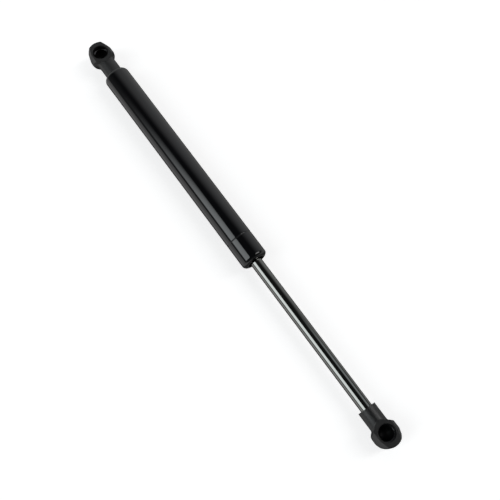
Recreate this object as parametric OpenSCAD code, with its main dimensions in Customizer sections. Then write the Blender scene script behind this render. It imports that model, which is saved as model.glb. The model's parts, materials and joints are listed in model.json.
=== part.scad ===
// Gas strut stay: an 8/18 gas spring with a plastic ball socket on each end, fully extended.
// X runs along the strut towards the rod's end. Z points out of the socket mouths.
// The origin is on the surface that the tube lies on, midway between the two ball centres.

/* [Strut] */
// Length of the cylinder tube
tube_length = 168; // [155:1:220]
// Travel of the rod
stroke = 105; // [60:1:105]
// Length of rod that stays outside the tube when it is pushed in
rod_stub = 8; // [7:0.5:12]

/* [Cylinder tube] */
// Outer diameter of the tube
tube_d = 18; // [18:0.5:20]
// Thickness of the tube's wall
tube_wall = 1; // [0.8:0.1:1]
// Outer radius of the roll that closes the tube over the base plug
closed_roll_r = 3; // [2.5:0.1:3]
// Outer radius of the roll at the rod's end
mouth_roll_r = 2.6; // [2:0.1:2.8]
// Diameter of the opening round the rod
mouth_d = 11.2; // [10.6:0.1:11.6]
// Distance of the rolled bead from the rod's end of the tube
bead_from_mouth = 18; // [18:0.1:22]
// Depth of the rolled bead
bead_depth = 0.25; // [0.15:0.05:0.25]
// Radius of the rolled bead's section, on the outside
bead_r = 0.6; // [0.5:0.05:0.6]

/* [Rod] */
// Diameter of the piston rod
rod_d = 8; // [7.9:0.05:8.2]
// Length of the M8 thread on the rod and on the base plug's stud
thread_length = 10; // [8:0.5:10]

/* [Ball socket] */
// Diameter of the ball that the socket takes
ball_d = 10; // [9.8:0.1:10]
// Distance from the ball's centre to the end of the shank
socket_reach = 18; // [17:0.5:20]
// Diameter of the shank
shank_d = 12; // [11.6:0.1:12]
// Radius of the head's round tip
head_r = 8.9; // [8.8:0.1:9.1]
// Width of the head across its two flats
head_w = 16.6; // [16.4:0.1:16.7]
// Height of the head along the socket's axis
head_h = 12.1; // [12.1:0.1:12.4]
// Rounding of the head's edge on the mouth side
head_top_round = 0.6; // [0.4:0.1:0.8]
// Rounding of the head's edge on the closed side
head_bottom_round = 5.4; // [4:0.1:5.6]
// Radius of the hollow between the shank and the shoulder of the head
blend_r = 2; // [1.5:0.1:2.2]
// Diameter of the round wall in the mouth
lip_d = 10.2; // [10.1:0.05:10.3]
// Diameter of the spring steel wire of the snap ring
wire_d = 1; // [0.9:0.05:1]

/* [Piston] */
// Diameter of the piston
piston_d = 15.4; // [15.2:0.1:15.5]
// Length of the piston
piston_length = 6.4; // [6:0.1:8]
// Width of the piston ring
ring_width = 2.1; // [1.8:0.1:2.2]

/* [Hidden] */
$fn = 96;
cut = 1;                  // how far a cutting shape runs past what it cuts
touch = 0.02;             // gap between pieces that are pressed or screwed together
running = 0.03;           // radial gap of the rod in its bushing, seal and wiper

tube_r = tube_d / 2;
bore_r = tube_r - tube_wall;
rod_r = rod_d / 2;
axis_z = tube_r;          // height of the strut's axis over the surface that it lies on
rod_showing = stroke + rod_stub;
tube_end_ball_x = -(tube_length + rod_showing) / 2 - socket_reach;
rod_end_ball_x = -tube_end_ball_x;
closed_x = tube_end_ball_x + socket_reach;
mouth_x = closed_x + tube_length;
rod_face_x = mouth_x + rod_showing;

// base plug, measured from the closed end
plug_length = 13;
plug_groove_at = 8;
stud_r = 3.95;            // M8 thread, drawn at its outside
thread_hole_r = 4;
o_ring_r = 0.88;
o_ring_centre_r = bore_r - touch - o_ring_r;
groove_w = 2.2;

// guide and seal pack, measured inwards from the mouth
guide_front = tube_wall + 0.05;
wiper_thick = 2.1;
wiper_r = 6.1;
guide_length = 9.8;
guide_chamfer = 2.4;      // side of the square that clears the inside of the mouth's roll
bushing_r = 5;
bushing_front = 3.7;
bushing_length = 6.4;
spacer_front = guide_front + guide_length + 0.05;
spacer_thick = 1.2;
seal_front = spacer_front + spacer_thick + 0.05;
seal_length = 3.6;
washer_front = seal_front + seal_length + 0.05;
washer_thick = 1.2;
loose_r = rod_r + 0.3;    // holes that the rod passes without touching

// piston stack, measured inwards from the mouth
stack_front = washer_front + washer_thick + 0.4;
spigot_r = 2.5;
front_washer_thick = 2;
piston_front = stack_front + front_washer_thick;
disc_front = piston_front + piston_length;
disc_thick = 0.8;
rear_washer_front = disc_front + disc_thick;
rear_washer_thick = 2;
rivet_front = rear_washer_front + rear_washer_thick;
rivet_thick = 1.4;
rivet_r = 3.5;
ring_groove_w = ring_width + 0.3;
ring_groove_r = 6;
orifice_at_r = 5.4;
orifice_r = 0.35;

// ball socket, heights over the ball's centre
seat_r = ball_d / 2 + 0.05;
ring_centre_r = 5.1;
ring_z = 2.07;
ring_slot_low = 1.45;
ring_slot_high = 2.65;
ring_slot_r = 6.1;
lead_in = 0.8;
lead_in_r = 5.45;
thread_hole_end = 7.6;    // distance of the thread hole's floor from the ball's centre
blend_start = 6.5;        // where the hollow leaves the shank, from the ball's centre
shoulder_at = 3.2;        // where the flats start, from the ball's centre
shoulder_slope = 1.25;    // how steeply the shoulder closes in towards the shank
taper_from = 1.8;         // where the flats start to close in towards the tip
taper_slope = 0.31;
lean_from = 2.7;          // height from which the flats lean in towards the mouth
lean_angle = 30;

// Turns a profile, drawn as [radius, distance along X], about the strut's axis, starting at x.
module turned(x) {
    translate([x, 0, axis_z]) rotate([0, 90, 0]) rotate_extrude() children();
}

// A flat ring about the strut's axis, whose face nearest the mouth is at depth from the mouth.
module pack_ring(depth, thick, r_in, r_out) {
    turned(mouth_x - depth - thick) translate([r_in, 0]) square([r_out - r_in, thick]);
}

// A quarter of a disc; side_x and side_y are 1 or -1 and choose the quarter.
module quarter_disc(r, side_x, side_y) {
    intersection() {
        circle(r);
        translate([(side_x - 1) * r / 2, (side_y - 1) * r / 2]) square(r);
    }
}

module quarter_ring(r_out, r_in, side_x, side_y) {
    difference() {
        quarter_disc(r_out, side_x, side_y);
        circle(r_in);
    }
}

module o_ring(x) {
    turned(x) translate([o_ring_centre_r, 0]) circle(o_ring_r, $fn = 48);
}

module cylinder_tube() {
    bead_y = tube_length - bead_from_mouth;
    bead_centre_r = tube_r + bead_r - bead_depth;
    color("#141517")
    turned(closed_x)
    difference() {
        union() {
            translate([bore_r, closed_roll_r])
                square([tube_wall, tube_length - closed_roll_r - mouth_roll_r]);
            translate([tube_r - closed_roll_r, closed_roll_r])
                quarter_ring(closed_roll_r, closed_roll_r - tube_wall, 1, -1);
            translate([tube_r - mouth_roll_r, tube_length - mouth_roll_r])
                quarter_ring(mouth_roll_r, mouth_roll_r - tube_wall, 1, 1);
            translate([mouth_d / 2, tube_length - tube_wall])
                square([tube_r - mouth_roll_r - mouth_d / 2, tube_wall]);
            intersection() {
                translate([bead_centre_r, bead_y]) circle(bead_r + tube_wall);
                translate([0, bead_y - tube_wall - bead_r])
                    square([bore_r + tube_wall / 2, 2 * (tube_wall + bead_r)]);
            }
        }
        translate([bead_centre_r, bead_y]) circle(bead_r);
    }
}

// The base plug's nose is rounded to lie inside the tube's closed roll.
module base_plug() {
    nose_r = closed_roll_r - tube_wall - 0.05;
    nose_at_r = tube_r - closed_roll_r;
    color("#9a9b9d")
    turned(closed_x)
    difference() {
        union() {
            translate([0, closed_roll_r])
                square([nose_at_r + nose_r, plug_length - closed_roll_r]);
            translate([0, closed_roll_r - nose_r]) square([nose_at_r, nose_r]);
            translate([nose_at_r, closed_roll_r]) quarter_disc(nose_r, 1, -1);
            translate([0, touch]) square([nose_at_r - 0.05, closed_roll_r]);
            translate([0, -thread_length]) square([stud_r, thread_length + cut]);
        }
        translate([o_ring_centre_r - o_ring_r - touch, plug_groove_at - groove_w / 2])
            square([3, groove_w]);
        translate([stud_r, -thread_length]) rotate(45) square(1.2, center = true);
    }
}

module base_plug_o_ring() {
    color("#1b1b1b") o_ring(closed_x + plug_groove_at);
}

// The guide holds the wiper in its front, the bushing in its bore and a static seal round it.
module rod_guide() {
    color("#3c3d40")
    turned(mouth_x - guide_front - guide_length)
    difference() {
        translate([loose_r, 0]) square([bore_r - 0.05 - loose_r, guide_length]);
        translate([bore_r, guide_length]) rotate(45) square(guide_chamfer, center = true);
        translate([0, guide_length - wiper_thick - touch])
            square([wiper_r + touch, cut + wiper_thick]);
        translate([0, guide_length + guide_front - bushing_front - bushing_length - touch])
            square([bushing_r + touch, bushing_length + 2 * touch]);
        translate([o_ring_centre_r - o_ring_r - touch, guide_length / 2 - groove_w / 2])
            square([3, groove_w]);
    }
}

module guide_o_ring() {
    color("#1b1b1b") o_ring(mouth_x - guide_front - guide_length / 2);
}

module guide_bushing() {
    color("#8c6a3f") pack_ring(bushing_front, bushing_length, rod_r + running, bushing_r);
}

// The wiper's lip leans out along the rod.
module wiper_ring() {
    inner = rod_r + running;
    color("#161616")
    turned(mouth_x - guide_front - wiper_thick)
    polygon([[inner + 0.6, 0], [wiper_r, 0], [wiper_r, 1.5], [inner + 0.9, 1.5],
             [inner + 0.3, wiper_thick], [inner, wiper_thick], [inner, 1.4]]);
}

module seal_spacer() {
    color("#b4b5b7") pack_ring(spacer_front, spacer_thick, loose_r, bore_r - 0.05);
}

// The seal's two lips open towards the gas.
module rod_seal() {
    inner = rod_r + running;
    outer = bore_r - touch;
    color("#1d1d1f")
    turned(mouth_x - seal_front - seal_length)
    polygon([[inner, 0.2], [inner + 0.7, 0], [inner + 1.3, 2.2], [outer - 1.3, 2.2],
             [outer - 0.7, 0], [outer, 0.2], [outer, seal_length], [inner + 0.4, seal_length],
             [inner + 0.4, 1.6]]);
}

module backing_washer() {
    color("#b4b5b7") pack_ring(washer_front, washer_thick, loose_r, bore_r - 0.1);
}

// The rod: M8 thread, shaft, spigot for the piston stack, and the rivet head that holds it.
module piston_rod() {
    inner_end = rivet_front + rivet_thick;
    color("#55585a")
    turned(mouth_x - inner_end)
    difference() {
        union() {
            square([rivet_r, rivet_thick]);
            translate([0, rivet_thick - 0.5]) square([spigot_r, inner_end - stack_front]);
            translate([0, inner_end - stack_front]) square([rod_r, stack_front + rod_showing]);
            translate([0, inner_end + rod_showing - cut])
                square([stud_r, thread_length + cut]);
        }
        translate([rivet_r, 0]) rotate(45) square(1, center = true);
        translate([stud_r, inner_end + rod_showing + thread_length])
            rotate(45) square(1.2, center = true);
    }
}

module piston_front_washer() {
    color("#b4b5b7") pack_ring(stack_front, front_washer_thick, spigot_r + touch, 5);
}

// The piston: a groove for the ring, three bypass notches behind it and the orifice.
module piston() {
    notch_w = 2.4;
    notch_depth = 1.3;
    half_r = piston_d / 2;
    behind_ring = (piston_length - ring_groove_w) / 2;
    color("#c9b27a")
    difference() {
        turned(mouth_x - disc_front)
        difference() {
            translate([spigot_r + touch, 0]) square([half_r - spigot_r - touch, piston_length]);
            translate([ring_groove_r, behind_ring]) square([half_r, ring_groove_w]);
        }
        for (a = [0:120:240])
            translate([mouth_x - disc_front - cut, 0, axis_z])
            rotate([a, 0, 0])
            translate([0, -notch_w / 2, half_r - notch_depth])
            cube([cut + behind_ring, notch_w, notch_depth + cut]);
        orifice(mouth_x - disc_front, piston_length);
    }
}

// The small gas passage, as a cutting shape.
module orifice(x, length) {
    translate([x - cut, orifice_at_r, axis_z]) rotate([0, 90, 0])
        cylinder(h = length + 2 * cut, r = orifice_r, $fn = 24);
}

module orifice_disc() {
    color("#a8a9ab")
    difference() {
        pack_ring(disc_front, disc_thick, spigot_r + touch, 6.3);
        orifice(mouth_x - rear_washer_front, disc_thick);
    }
}

module piston_rear_washer() {
    color("#b4b5b7") pack_ring(rear_washer_front, rear_washer_thick, spigot_r + touch, 4.9);
}

// The piston ring is split, and longer across than the groove is deep.
module piston_ring() {
    ring_depth = piston_front + (piston_length - ring_width) / 2;
    split_w = 0.6;
    color("#e6e3da")
    difference() {
        pack_ring(ring_depth, ring_width, ring_groove_r + 0.3, bore_r - 0.05);
        translate([mouth_x - ring_depth - ring_width - cut, -split_w / 2, axis_z])
            cube([ring_width + 2 * cut, split_w, bore_r + cut]);
    }
}

// The space inside a socket: ball seat, slot for the snap ring, round wall and lead-in.
module socket_space() {
    top = head_h / 2;
    rotate_extrude() {
        intersection() {
            circle(seat_r);
            translate([0, -seat_r]) square([seat_r, seat_r + 1]);
        }
        square([seat_r, ring_slot_low + 0.5]);
        translate([0, ring_slot_low]) square([ring_slot_r, ring_slot_high - ring_slot_low]);
        square([lip_d / 2, top + cut]);
        polygon([[0, top - lead_in], [lip_d / 2, top - lead_in], [lead_in_r, top],
                 [lead_in_r, top + cut], [0, top + cut]]);
    }
}

// The head, turned about the socket's axis and cut to its flats and shoulder.
module socket_head() {
    difference() {
        intersection() {
            head_turning();
            translate([0, 0, -head_h]) linear_extrude(2 * head_h) head_plan();
        }
        leaning_cuts();
    }
}

module head_turning() {
    half_h = head_h / 2;
    rotate_extrude() {
        translate([0, -half_h]) square([head_r - head_bottom_round, head_h]);
        translate([0, head_bottom_round - half_h])
            square([head_r, head_h - head_bottom_round - head_top_round]);
        square([head_r - head_top_round, half_h]);
        translate([head_r - head_bottom_round, head_bottom_round - half_h])
            quarter_disc(head_bottom_round, 1, -1);
        translate([head_r - head_top_round, half_h - head_top_round])
            quarter_disc(head_top_round, 1, 1);
    }
}

// What is cut off the flats and off their tapered parts, so that they lean in at the mouth.
module leaning_cuts() {
    reach = 3 * head_r;
    for (side = [0, 1])
        for (turn = [0, -atan(taper_slope)])
            mirror([0, side, 0])
            translate([taper_from, head_w / 2, lean_from])
            rotate([0, 0, turn])
            rotate([lean_angle, 0, 0])
            translate([-reach, 0, -reach]) cube([2 * reach, reach, 2 * reach]);
}

// The head's sides from above: shoulder, flat and the slight taper towards the tip.
module head_plan() {
    half_w = head_w / 2;
    tip_y = half_w - (head_r + cut - taper_from) * taper_slope;
    back_y = half_w - (head_r - shoulder_at) * shoulder_slope;
    polygon([[-head_r, back_y], [-shoulder_at, half_w], [taper_from, half_w],
             [head_r + cut, tip_y], [head_r + cut, -tip_y], [taper_from, -half_w],
             [-shoulder_at, -half_w], [-head_r, -back_y]]);
}

// The shank, and the hollow and the cone that widen it to the shoulder of the head.
module socket_shank() {
    flare_r = shank_d / 2 + blend_r * (1 - cos(45));
    flare_at = blend_start - blend_r * sin(45);
    flare_length = head_w / 2 - flare_r;
    intersection() {
        rotate([0, 90, 0]) rotate_extrude() {
            translate([0, -socket_reach]) square([shank_d / 2, socket_reach - 2]);
            difference() {
                translate([0, -blend_start]) square([flare_r, blend_start - flare_at]);
                translate([shank_d / 2 + blend_r, -blend_start]) circle(blend_r);
            }
            polygon([[0, -flare_at], [flare_r, -flare_at],
                     [flare_r + flare_length, flare_length - flare_at], [0, flare_length - flare_at]]);
        }
        translate([-socket_reach - cut, -head_w / 2, -head_h / 2 + 0.05])
            cube([2 * socket_reach, head_w, head_h - 0.1]);
    }
}

// A whole ball socket about its ball's centre, with the shank towards -X.
module ball_socket() {
    difference() {
        union() {
            socket_head();
            socket_shank();
        }
        socket_space();
        translate([-socket_reach - cut, 0, 0]) rotate([0, 90, 0])
            cylinder(h = cut + socket_reach - thread_hole_end, r = thread_hole_r);
    }
}

// The wire ring that holds the ball, open towards one side.
module snap_ring() {
    gap_w = 2.4;
    difference() {
        translate([0, 0, ring_z]) rotate_extrude()
            translate([ring_centre_r, 0]) circle(wire_d / 2, $fn = 48);
        translate([0, 0, ring_z - wire_d]) rotate(60) translate([0, -gap_w / 2, 0])
            cube([ring_slot_r, gap_w, 2 * wire_d]);
    }
}

module rod_end_place() {
    translate([rod_end_ball_x, 0, axis_z]) children();
}

module tube_end_place() {
    translate([tube_end_ball_x, 0, axis_z]) rotate([0, 0, 180]) children();
}

module rod_end_fitting() {
    color("#26272a") rod_end_place() ball_socket();
}

module tube_end_fitting() {
    color("#26272a") tube_end_place() ball_socket();
}

module rod_end_snap_ring() {
    color("#c6c8ca") rod_end_place() snap_ring();
}

module tube_end_snap_ring() {
    color("#c6c8ca") tube_end_place() snap_ring();
}

cylinder_tube();
base_plug();
base_plug_o_ring();
tube_end_fitting();
tube_end_snap_ring();
rod_guide();
guide_o_ring();
guide_bushing();
wiper_ring();
seal_spacer();
rod_seal();
backing_washer();
piston_ring();
piston_rod();
piston_front_washer();
piston();
orifice_disc();
piston_rear_washer();
rod_end_fitting();
rod_end_snap_ring();
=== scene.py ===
import json
import math

import bpy
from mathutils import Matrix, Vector


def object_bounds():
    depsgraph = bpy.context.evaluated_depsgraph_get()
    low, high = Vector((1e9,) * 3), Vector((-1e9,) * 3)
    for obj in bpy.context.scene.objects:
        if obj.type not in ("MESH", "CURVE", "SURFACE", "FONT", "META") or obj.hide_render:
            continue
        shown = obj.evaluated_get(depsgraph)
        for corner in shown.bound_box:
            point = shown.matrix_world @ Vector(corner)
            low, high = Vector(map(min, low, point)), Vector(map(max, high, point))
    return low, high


MM = 0.001

# Camera: the direction from its aim, in degrees, and lengths in metres; the lens is in millimetres
CAMERA_AZIMUTH = -35.6
CAMERA_ELEVATION = 71.68
CAMERA_DISTANCE = 0.4474
AIM_OFFSET = Vector((0.01906, 0.00144, 0.0))    # from the middle of the object's box
LENS = 50.18
SENSOR = 36.0

FLOOR_COLOUR = (0.56, 0.56, 0.56)
FLOOR_RADIUS = 6.0
FLOOR_CORNERS = 128
FLOOR_LIFT = 0.71                    # light added to the floor as the camera sees it
BACKDROP_COLOUR = (1.0, 1.0, 1.0)    # what the camera sees past the floor
ROOM_COLOUR = (0.97, 0.98, 1.0)
ROOM_BRIGHTNESS = 0.03

# Painted shadow and light on the floor as the object sees it: the floor's glow is painted dark
# under the strut and brighter to each side, brighter in front than behind.
# name: (side of Y, distance from the strut's axis where it starts and is full, brightness)
# the brightness of the painted shadow under the strut
FLOOR_GLOW_IN_PAINTED_SHADOW = 0.09
# the painted light to each side of the strut
FLOOR_PAINTED_SIDE_GLOWS = {
    "front": (-1, (0.0115, 0.024), 0.79),
    "back": (1, (0.013, 0.040), 0.49),
}

SOFTBOX_SIDE_FADE = (0.0, 0.02)      # how far to its side of Y a softbox starts and is full

# Softboxes, each a range of direction along X, of X over Y, and of height over the horizon in
# degrees. Each limit is a pair, where the light starts and where it is full, for a soft edge.
# name: (side of Y, X at the back, X at the front, X over Y, low, high, colour, brightness)
SOFTBOXES = {
    "front_softbox": (-1, (-0.53, -0.30), (0.06, 0.02), (-1.2, -0.3), (13, 19), (60, 57),
                      (0.93, 0.98, 1.0), 3.4),
    "side_softbox": (1, (0.02, 0.13), (0.34, 0.28), (-1.2, -0.3), (24, 28), (66, 58),
                     (1.0, 0.99, 0.98), 6.0),
    "side_skirt": (1, (-0.16, -0.07), (0.14, 0.06), (-1.2, -0.3), (24, 32), (63, 54),
                   (0.90, 0.96, 1.0), 0.70),
}

# Pale walls. The two limits are cosines of the angle off the direction, where the light starts
# and where it is full.
# name: (direction, limits, colour, brightness)
WALLS = {
    "back_wall": ((-0.92, 0.39, 0.0), (0.36, 0.68), (0.96, 0.98, 1.0), 0.60),
    "haze": ((0.0, 0.0, -1.0), (-0.90, -0.17), (0.96, 0.98, 1.0), 0.12),
}

# Finishes
NOISE_LOW, NOISE_HIGH = 0.3, 0.7     # the part of the noise that a finish spreads over its range
EDGE_RADIUS = 0.25 * MM              # the shading of the sockets' edges
EDGE_SAMPLES = 6
TUBE_PEEL_HEIGHT = 0.004 * MM
TUBE_DUST_HEIGHT = 0.0004 * MM
ROD_GRIND_HEIGHT = 0.0006 * MM
SOCKET_GRAIN_HEIGHT = 0.006 * MM
TURNED_RING_HEIGHT = 0.002 * MM
POLYMER_GRAIN_HEIGHT = 0.004 * MM


def new_nodes(tree):
    """Empties a node tree and returns a function that adds a node with its settings."""
    tree.nodes.clear()

    def add(kind, inputs=(), **settings):
        made = tree.nodes.new(kind)
        for key, value in settings.items():
            setattr(made, key, value)
        for key, value in dict(inputs).items():
            if isinstance(value, bpy.types.NodeSocket):
                tree.links.new(value, made.inputs[key])
            else:
                made.inputs[key].default_value = value
        return made

    return add


# ---------------------------------------------------------------- studio


def smooth_step(add, value, ends):
    """0 at the first end and 1 at the second, with a soft start and stop."""
    step = add("ShaderNodeMapRange", {"Value": value}, interpolation_type="SMOOTHSTEP")
    step.inputs["From Min"].default_value = ends[0]
    step.inputs["From Max"].default_value = ends[1]
    return step.outputs[0]


def product(add, first, second):
    return add("ShaderNodeMath", {0: first, 1: second}, operation="MULTIPLY").outputs[0]


def softbox_strength(add, direction, side, back, front, turn, low, high):
    """How much of a softbox is seen in a direction, from 0 to 1, with soft edges."""
    axes = add("ShaderNodeSeparateXYZ", {0: direction})
    sine = add("ShaderNodeMath", {0: axes.outputs["Z"]}, operation="ARCSINE")
    height = product(add, sine.outputs[0], math.degrees(1))
    sideways = product(add, axes.outputs["Y"], side)
    ratio = add("ShaderNodeMath", {0: axes.outputs["X"], 1: sideways}, operation="DIVIDE")
    seen = smooth_step(add, sideways, SOFTBOX_SIDE_FADE)
    for value, ends in ((axes.outputs["X"], back), (axes.outputs["X"], front),
                        (ratio.outputs[0], turn), (height, low), (height, high)):
        seen = product(add, seen, smooth_step(add, value, ends))
    return seen


def wall_strength(add, direction, towards, ends):
    """How much of a wall is seen in a direction, from 0 to 1, by how close it is to the middle."""
    near = add("ShaderNodeVectorMath", {0: direction, 1: towards}, operation="DOT_PRODUCT")
    return smooth_step(add, near.outputs["Value"], ends)


def make_studio():
    world = bpy.data.worlds.new("studio")
    bpy.context.scene.world = world
    world.use_nodes = True
    tree = world.node_tree
    add = new_nodes(tree)
    direction = add("ShaderNodeTexCoord").outputs["Generated"]
    total = add("ShaderNodeBackground", {"Color": (*ROOM_COLOUR, 1), "Strength": ROOM_BRIGHTNESS})
    lights = [(softbox_strength, panel) for panel in SOFTBOXES.values()]
    lights += [(wall_strength, wall) for wall in WALLS.values()]
    for strength, (*shape, colour, brightness) in lights:
        lit = product(add, strength(add, direction, *shape), brightness)
        glow = add("ShaderNodeBackground", {"Color": (*colour, 1), "Strength": lit})
        total = add("ShaderNodeAddShader", {0: total.outputs[0], 1: glow.outputs[0]})
    backdrop = add("ShaderNodeBackground", {"Color": (*BACKDROP_COLOUR, 1), "Strength": 1.0})
    ray = add("ShaderNodeLightPath")
    both = add("ShaderNodeMixShader", {0: ray.outputs["Is Camera Ray"], 1: total.outputs[0],
                                       2: backdrop.outputs[0]})
    out = add("ShaderNodeOutputWorld")
    tree.links.new(both.outputs[0], out.inputs["Surface"])
    bpy.context.scene.view_settings.view_transform = "Standard"


def painted_floor_glow(add):
    """The floor's painted brightness as the object sees it, by the distance from the strut's axis:
    painted shadow under the strut and painted light to each side.
    """
    place = add("ShaderNodeSeparateXYZ", {0: add("ShaderNodeTexCoord").outputs["Object"]})
    total = FLOOR_GLOW_IN_PAINTED_SHADOW
    for side, reach, brightness in FLOOR_PAINTED_SIDE_GLOWS.values():
        aside = product(add, place.outputs["Y"], side)
        lit = product(add, smooth_step(add, aside, reach), brightness)
        total = add("ShaderNodeMath", {0: total, 1: lit}, operation="ADD").outputs[0]
    return total


def make_floor():
    bpy.ops.mesh.primitive_circle_add(vertices=FLOOR_CORNERS, radius=FLOOR_RADIUS,
                                      fill_type="NGON")
    floor = bpy.context.object
    floor.name = "floor"
    material = bpy.data.materials.new("floor_paper")
    material.use_nodes = True
    add = new_nodes(material.node_tree)
    paper = add("ShaderNodeBsdfDiffuse", {"Color": (*FLOOR_COLOUR, 1)})
    lift = add("ShaderNodeEmission", {"Strength": FLOOR_LIFT})
    pale = add("ShaderNodeAddShader", {0: paper.outputs[0], 1: lift.outputs[0]})
    # Painted shadow and light: rays other than the camera's see the floor only as a glow, painted
    # dark under the strut and brighter to each side.
    glow = add("ShaderNodeEmission", {"Strength": painted_floor_glow(add)})
    ray = add("ShaderNodeLightPath")
    both = add("ShaderNodeMixShader", {0: ray.outputs["Is Camera Ray"], 1: glow.outputs[0],
                                       2: pale.outputs[0]})
    out = add("ShaderNodeOutputMaterial")
    material.node_tree.links.new(both.outputs[0], out.inputs["Surface"])
    floor.data.materials.append(material)


def make_camera(lowest, highest):
    aim = (lowest + highest) / 2 + AIM_OFFSET
    azimuth = math.radians(CAMERA_AZIMUTH)
    elevation = math.radians(CAMERA_ELEVATION)
    back = Vector((math.cos(azimuth) * math.cos(elevation),
                   math.sin(azimuth) * math.cos(elevation), math.sin(elevation)))
    data = bpy.data.cameras.new("camera")
    data.lens = LENS
    data.sensor_width = SENSOR
    camera = bpy.data.objects.new("camera", data)
    bpy.context.scene.collection.objects.link(camera)
    camera.location = aim + back * CAMERA_DISTANCE
    camera.rotation_euler = (-back).to_track_quat("-Z", "Y").to_euler()
    bpy.context.scene.camera = camera


# ---------------------------------------------------------------- materials


def stretched_noise(add, scale, detail, stretch=(1, 1, 1), roughness=0.6):
    """Noise fixed to the piece, with its scale per metre and a stretch along each axis."""
    place = add("ShaderNodeTexCoord").outputs["Object"]
    mapped = add("ShaderNodeMapping", {"Vector": place, "Scale": stretch})
    noise = add("ShaderNodeTexNoise", {"Vector": mapped.outputs[0], "Scale": scale,
                                       "Detail": detail, "Roughness": roughness})
    return noise.outputs["Fac"]


def spread(add, value, low, high):
    """Maps a noise value to a range of roughness."""
    made = add("ShaderNodeMapRange", {"Value": value, "From Min": NOISE_LOW,
                                      "From Max": NOISE_HIGH, "To Min": low, "To Max": high})
    return made.outputs[0]


def two_tone(add, value, dark, light):
    """A colour between two, by a noise value."""
    made = add("ShaderNodeMix", {"Factor": value}, data_type="RGBA")
    made.inputs["A"].default_value = (*dark, 1)
    made.inputs["B"].default_value = (*light, 1)
    return made.outputs["Result"]


def bump(add, height, distance, under=None):
    """A normal pushed about by a noise value, on top of another normal if one is given."""
    made = add("ShaderNodeBump", {"Height": height, "Distance": distance, "Strength": 1.0})
    if under is not None:
        made.id_data.links.new(under, made.inputs["Normal"])
    return made.outputs["Normal"]


def new_material(name):
    material = bpy.data.materials.new(name)
    material.use_nodes = True
    add = new_nodes(material.node_tree)
    shader = add("ShaderNodeBsdfPrincipled")
    out = add("ShaderNodeOutputMaterial")
    material.node_tree.links.new(shader.outputs[0], out.inputs["Surface"])
    return material, add, shader


def connect(shader, **sockets):
    """Sets or links the shader's sockets; an underscore stands for a space in a name."""
    for key, value in sockets.items():
        socket = shader.inputs[key.replace("_", " ")]
        if isinstance(value, bpy.types.NodeSocket):
            shader.id_data.links.new(value, socket)
        else:
            socket.default_value = value


def tube_paint():
    """Gloss black paint with a faint orange peel and dust."""
    material, add, shader = new_material("tube_paint")
    cloud = stretched_noise(add, scale=90, detail=4)
    peel = stretched_noise(add, scale=700, detail=1.5)
    dust = stretched_noise(add, scale=5200, detail=2)
    connect(shader, Base_Color=two_tone(add, cloud, (0.0018, 0.0019, 0.0024),
                                        (0.0032, 0.0034, 0.0042)),
            Roughness=spread(add, cloud, 0.045, 0.09),
            Normal=bump(add, peel, TUBE_PEEL_HEIGHT, under=bump(add, dust, TUBE_DUST_HEIGHT)))
    return material


def rod_steel():
    """Dark polished steel, ground round the strut's axis."""
    material, add, shader = new_material("rod_steel")
    ground = stretched_noise(add, scale=60, detail=4, stretch=(220, 3, 3), roughness=0.7)
    cloud = stretched_noise(add, scale=60, detail=3)
    connect(shader, Metallic=1.0,
            Base_Color=two_tone(add, cloud, (0.170, 0.173, 0.165), (0.192, 0.196, 0.187)),
            Roughness=spread(add, ground, 0.035, 0.09),
            Normal=bump(add, ground, ROD_GRIND_HEIGHT))
    return material


def socket_plastic():
    """Moulded satin plastic, whose sharp edges are shaded as if they had a small radius."""
    material, add, shader = new_material("socket_plastic")
    cloud = stretched_noise(add, scale=140, detail=4)
    grain = stretched_noise(add, scale=3200, detail=3)
    soft_edge = add("ShaderNodeBevel", {"Radius": EDGE_RADIUS}, samples=EDGE_SAMPLES)
    connect(shader, Base_Color=two_tone(add, cloud, (0.0055, 0.0056, 0.0058),
                                        (0.0088, 0.0088, 0.0090)),
            Roughness=spread(add, cloud, 0.36, 0.47),
            Normal=bump(add, grain, SOCKET_GRAIN_HEIGHT, under=soft_edge.outputs[0]))
    return material


def turned_metal(name, dark, light, low, high):
    """Machined or stamped metal with fine rings about the strut's axis."""
    material, add, shader = new_material(name)
    rings = stretched_noise(add, scale=60, detail=4, stretch=(90, 6, 6), roughness=0.7)
    cloud = stretched_noise(add, scale=200, detail=3)
    connect(shader, Metallic=1.0, Base_Color=two_tone(add, cloud, dark, light),
            Roughness=spread(add, rings, low, high),
            Normal=bump(add, rings, TURNED_RING_HEIGHT))
    return material


def soft_polymer(name, dark, light, low, high):
    """Moulded rubber or plastic with a fine matt grain."""
    material, add, shader = new_material(name)
    cloud = stretched_noise(add, scale=250, detail=3)
    grain = stretched_noise(add, scale=5000, detail=2)
    connect(shader, Base_Color=two_tone(add, cloud, dark, light),
            Roughness=spread(add, cloud, low, high),
            Normal=bump(add, grain, POLYMER_GRAIN_HEIGHT))
    return material


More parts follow.
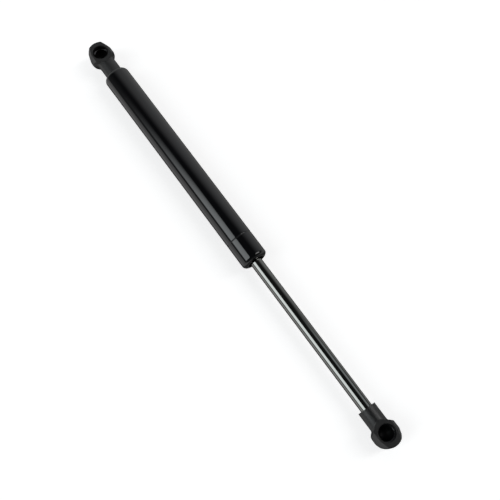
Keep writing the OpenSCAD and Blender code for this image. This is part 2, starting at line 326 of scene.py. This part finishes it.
def make_materials():
    """The finish of each material slot. A row with numbers has a dark colour, a light colour
    and the lowest and highest roughness.
    """
    return {
        "tube_paint": tube_paint(),
        "rod_steel": rod_steel(),
        "socket_plastic": socket_plastic(),
        "plug_steel": turned_metal("plug_steel", (0.40, 0.40, 0.41), (0.50, 0.50, 0.51),
                                   0.25, 0.42),
        "spring_wire": turned_metal("spring_wire", (0.045, 0.045, 0.047), (0.070, 0.070, 0.073),
                                    0.25, 0.38),
        "washer_steel": turned_metal("washer_steel", (0.50, 0.50, 0.50), (0.60, 0.60, 0.60),
                                     0.22, 0.4),
        "bushing_bronze": turned_metal("bushing_bronze", (0.42, 0.25, 0.12), (0.52, 0.32, 0.16),
                                       0.3, 0.5),
        "piston_brass": turned_metal("piston_brass", (0.62, 0.46, 0.20), (0.70, 0.53, 0.25),
                                     0.22, 0.38),
        "guide_plastic": soft_polymer("guide_plastic", (0.040, 0.041, 0.045), (0.055, 0.056, 0.060),
                                      0.4, 0.55),
        "o_ring_rubber": soft_polymer("o_ring_rubber", (0.010, 0.010, 0.010), (0.018, 0.018, 0.018),
                                      0.45, 0.65),
        "seal_rubber": soft_polymer("seal_rubber", (0.012, 0.012, 0.013), (0.020, 0.020, 0.021),
                                    0.5, 0.7),
        "ring_plastic": soft_polymer("ring_plastic", (0.72, 0.70, 0.64), (0.80, 0.78, 0.72),
                                     0.35, 0.5),
    }


def dress_nodes(frame, materials):
    """Gives each CAD node the finish of its material slot in the record."""
    for row in frame["record"]["subparts"]:
        node = frame["nodes"][row["node"]]
        node.data.materials.clear()
        node.data.materials.append(materials[row["material_slot"]])


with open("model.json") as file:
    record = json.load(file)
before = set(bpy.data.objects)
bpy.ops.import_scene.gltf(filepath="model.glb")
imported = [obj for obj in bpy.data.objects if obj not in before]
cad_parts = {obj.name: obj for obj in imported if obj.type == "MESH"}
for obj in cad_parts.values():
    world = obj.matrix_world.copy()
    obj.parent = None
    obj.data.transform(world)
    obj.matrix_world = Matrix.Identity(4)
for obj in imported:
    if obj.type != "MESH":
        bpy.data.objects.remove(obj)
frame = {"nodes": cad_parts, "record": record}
cad_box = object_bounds()
make_camera(*cad_box)
make_studio()
make_floor()
dress_nodes(frame, make_materials())
